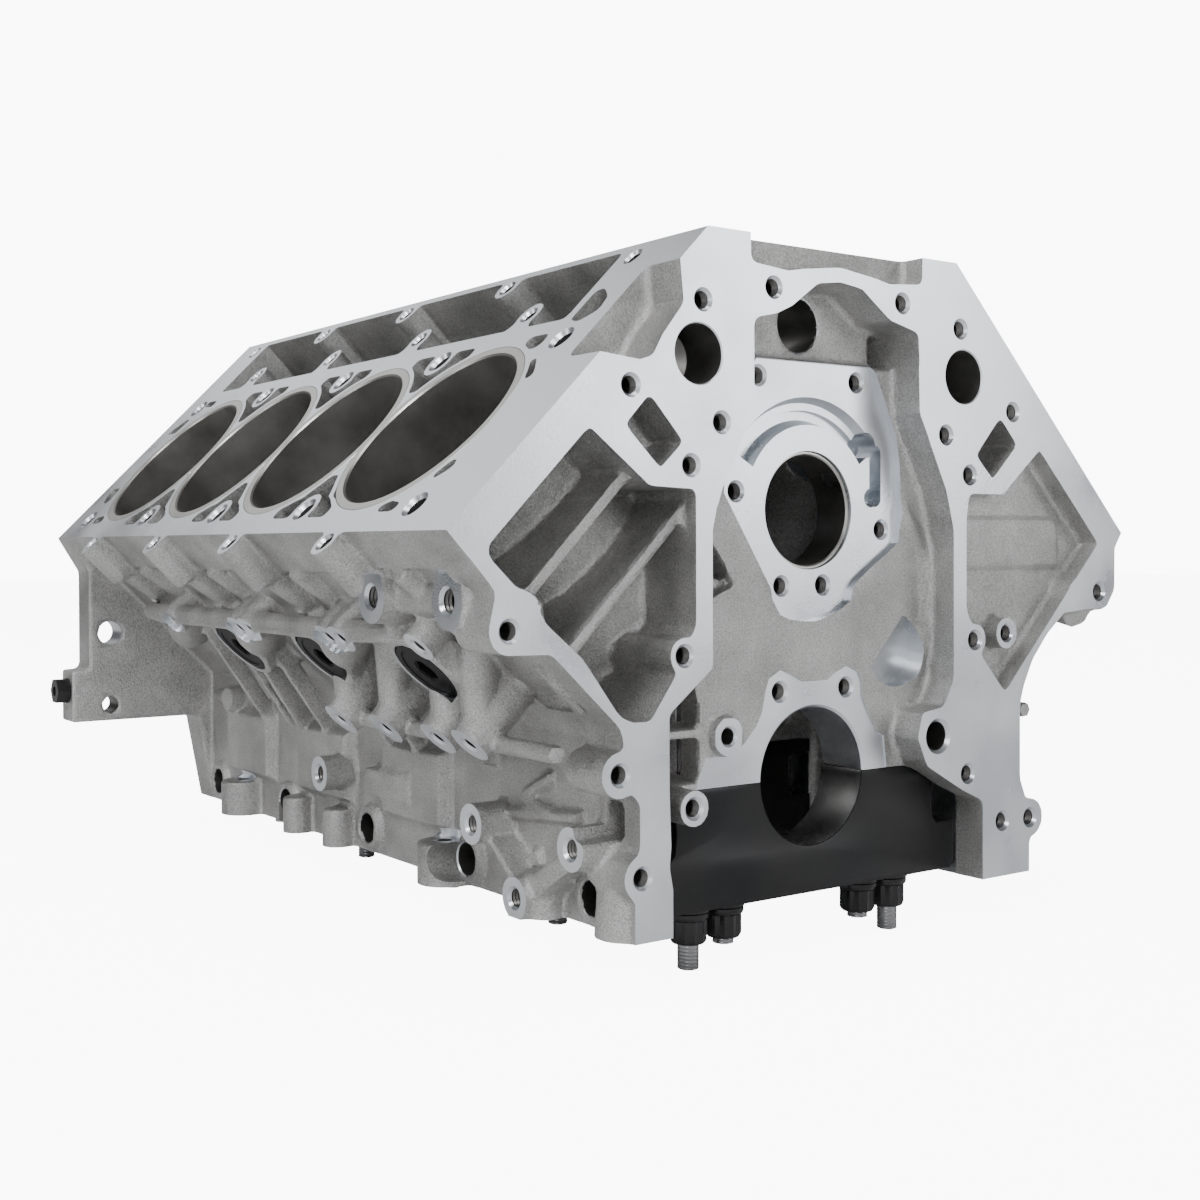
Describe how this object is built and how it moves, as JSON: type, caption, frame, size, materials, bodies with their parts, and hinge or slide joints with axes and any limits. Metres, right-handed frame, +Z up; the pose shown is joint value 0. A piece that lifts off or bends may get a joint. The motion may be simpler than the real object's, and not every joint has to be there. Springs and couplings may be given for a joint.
{
  "type": "engine block",
  "caption": "Aluminium V8 cylinder block with pressed liners, open decks, steel main caps on studs and a ribbed, machined front face.",
  "frame": {"origin": "crankshaft axis at the middle of the centre main bearing", "axes": "+Y along the crankshaft to the rear, +X to the right seen from the front, +Z up"},
  "size_m": [0.474, 0.534, 0.355],
  "materials": {
    "casting": "sand cast with machined faces",
    "liner": "honed grey iron",
    "cap": "black oxide steel",
    "stud": "ground steel",
    "nut": "black oxide steel",
    "bearing": "plain bearing shell",
    "plug": "black anodised",
    "dowel": "ground steel"
  },
  "bodies": {
    "root": {"block_casting": "casting", "outer_main_studs": "stud", "inner_main_studs": "stud", "main_washers": "nut", "main_nuts": "nut", "bell_housing_dowels": "dowel", "flange_end_plug": "stud", "gallery_plugs": "stud", "main_cap_1": "cap", "main_cap_2": "cap", "main_cap_3": "cap", "main_cap_4": "cap", "main_cap_5": "cap", "cam_bearing_1": "bearing", "cam_bearing_2": "bearing", "cam_bearing_3": "bearing", "cam_bearing_4": "bearing", "cam_bearing_5": "bearing", "right_liner_1": "liner", "right_liner_2": "liner", "right_liner_3": "liner", "right_liner_4": "liner", "left_liner_1": "liner", "left_liner_2": "liner", "left_liner_3": "liner", "left_liner_4": "liner", "right_core_plug_1": "plug", "right_core_plug_2": "plug", "right_core_plug_3": "plug", "left_core_plug_1": "plug", "left_core_plug_2": "plug", "left_core_plug_3": "plug"}
  },
  "joints": []
}
